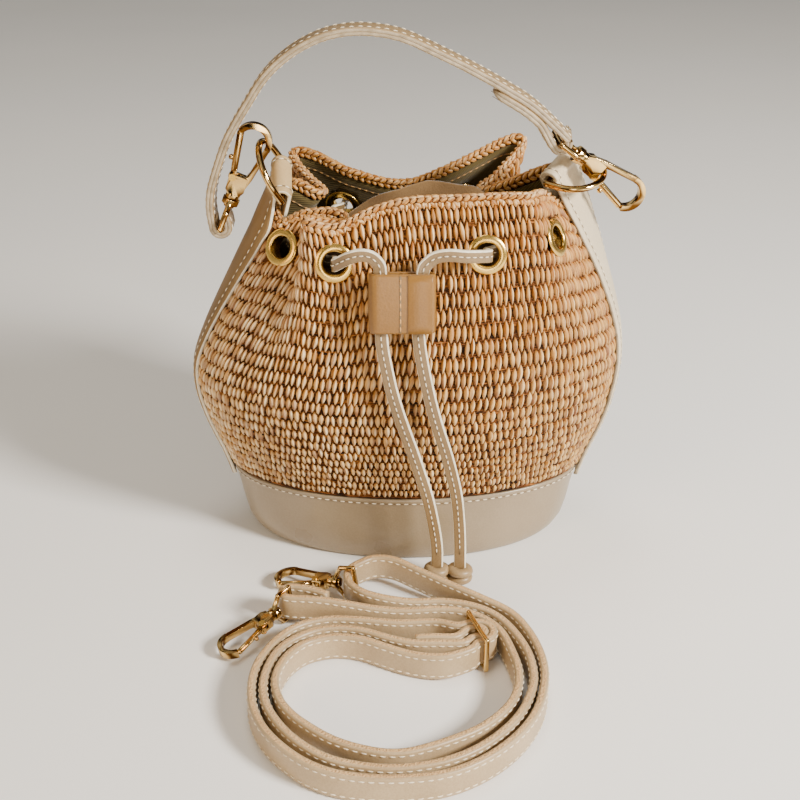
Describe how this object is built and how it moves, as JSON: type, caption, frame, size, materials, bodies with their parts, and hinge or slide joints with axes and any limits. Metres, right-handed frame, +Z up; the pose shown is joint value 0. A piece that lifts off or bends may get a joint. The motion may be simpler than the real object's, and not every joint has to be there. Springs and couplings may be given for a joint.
{
  "type": "bucket bag",
  "caption": "Small bucket bag of woven raffia on a leather base, with a drawstring mouth, a top handle on snap hooks and a loose shoulder strap.",
  "frame": {"origin": "middle of the base, on the surface the bag stands on", "axes": "+Z up, -Y to the front where the drawstring's slider hangs, +X to the right as seen from the front"},
  "size_m": [0.2275, 0.2794, 0.2685],
  "materials": {
    "leather_taupe": "satin",
    "leather_cream": "satin",
    "raffia": "coarse weave",
    "twill": "fine twill",
    "pouch": "brushed",
    "board": "plain",
    "gold_metal": "polished",
    "antique_brass": "brushed",
    "spring_steel": "plain"
  },
  "bodies": {
    "bag": {"base_panel": "leather_taupe", "base_board": "board", "base_band": "leather_taupe", "raffia_body": "raffia", "rim_braid": "raffia", "lining_wall": "twill", "lining_floor": "twill", "slip_pocket": "pouch", "eyelet_flanges": "antique_brass", "eyelet_washers": "antique_brass", "side_strap_left": "leather_cream", "side_strap_right": "leather_cream", "drawstring": "leather_taupe", "drawstring_knot_left": "leather_taupe", "drawstring_knot_right": "leather_taupe"},
    "ring_left": {"d_ring_left": "gold_metal"},
    "ring_right": {"d_ring_right": "gold_metal"},
    "handle": {"handle_strap": "leather_taupe", "left_hook_eye": "gold_metal", "right_hook_eye": "gold_metal"},
    "slider": {"cord_slider": "leather_taupe"},
    "strap": {"shoulder_strap": "leather_taupe", "strap_buckle": "gold_metal", "strap_hook_a_eye": "gold_metal", "strap_hook_b_eye": "gold_metal"},
    "left_hook": {"left_hook_body": "gold_metal", "left_hook_rivet": "antique_brass", "left_hook_spring": "spring_steel"},
    "left_hook_gate": {"left_hook_gate": "gold_metal"},
    "right_hook": {"right_hook_body": "gold_metal", "right_hook_rivet": "antique_brass", "right_hook_spring": "spring_steel"},
    "right_hook_gate": {"right_hook_gate": "gold_metal"},
    "strap_hook_a": {"strap_hook_a_body": "gold_metal", "strap_hook_a_rivet": "antique_brass", "strap_hook_a_spring": "spring_steel"},
    "strap_hook_a_gate": {"strap_hook_a_gate": "gold_metal"},
    "strap_hook_b": {"strap_hook_b_body": "gold_metal", "strap_hook_b_rivet": "antique_brass", "strap_hook_b_spring": "spring_steel"},
    "strap_hook_b_gate": {"strap_hook_b_gate": "gold_metal"}
  },
  "joints": [
    {"name": "ring_left_swing", "type": "hinge", "parent": "bag", "child": "ring_left", "pos_m": [-0.061, 0, 0.192], "axis": [-0.07, 0.9058, 0.4179], "range_deg": [-4, 0]},
    {"name": "ring_right_swing", "type": "hinge", "parent": "bag", "child": "ring_right", "pos_m": [0.075, 0, 0.198], "axis": [0.5067, 0.8241, 0.2533], "range_deg": [0, 2]},
    {"name": "handle_swing", "type": "hinge", "parent": "bag", "child": "handle", "pos_m": [-0.06985, -0.00001, 0.21083], "axis": [0.9962, -0.0265, -0.0832], "range_deg": [-6, 3]},
    {"name": "slider_slide", "type": "slide", "parent": "bag", "child": "slider", "axis": [0.1017, -0.1321, -0.986], "range_m": [0, 0.02], "deforming": ["drawstring"]},
    {"name": "strap_lift_off", "type": "slide", "parent": "bag", "child": "strap", "axis": [0, -0.6, 0.8], "range_m": [0, 0.25]},
    {"name": "left_hook_swivel", "type": "hinge", "parent": "handle", "child": "left_hook", "pos_m": [-0.08632, -0.00001, 0.18143], "axis": [0.3899, 0, 0.9208], "range_deg": [-4, 2]},
    {"name": "left_hook_gate_hinge", "type": "hinge", "parent": "left_hook", "child": "left_hook_gate", "pos_m": [-0.08439, -0.00001, 0.19419], "axis": [0, 1, 0], "range_deg": [0, 12], "stiffness_Nm_per_rad": 0.02, "springref_deg": -17.19},
    {"name": "right_hook_swivel", "type": "hinge", "parent": "handle", "child": "right_hook", "pos_m": [0.08247, -0.00646, 0.20631], "axis": [0.7764, 0.1271, -0.6173], "range_deg": [-1.5, 1.5]},
    {"name": "right_hook_gate_hinge", "type": "hinge", "parent": "right_hook", "child": "right_hook_gate", "pos_m": [0.09018, -0.00487, 0.19609], "axis": [0.0993, -0.9919, -0.0793], "range_deg": [0, 4], "stiffness_Nm_per_rad": 0.02, "springref_deg": -17.19},
    {"name": "strap_hook_a_swivel", "type": "hinge", "parent": "strap", "child": "strap_hook_a", "pos_m": [-0.06321, -0.10367, 0.00899], "axis": [-0.6762, -0.7192, -0.16], "range_deg": [-3, 3]},
    {"name": "strap_hook_a_gate_hinge", "type": "hinge", "parent": "strap_hook_a", "child": "strap_hook_a_gate", "pos_m": [-0.06823, -0.11284, 0.00735], "axis": [0.1096, 0.1166, -0.9871], "range_deg": [0, 25], "stiffness_Nm_per_rad": 0.02, "springref_deg": -17.19},
    {"name": "strap_hook_b_swivel", "type": "hinge", "parent": "strap", "child": "strap_hook_b", "pos_m": [-0.0348, -0.07767, 0.009], "axis": [-0.9193, 0.3597, -0.1599], "range_deg": [-3, 3]},
    {"name": "strap_hook_b_gate_hinge", "type": "hinge", "parent": "strap_hook_b", "child": "strap_hook_b_gate", "pos_m": [-0.04518, -0.07642, 0.00736], "axis": [0.1489, -0.0583, -0.9871], "range_deg": [0, 25], "stiffness_Nm_per_rad": 0.02, "springref_deg": -17.19}
  ]
}
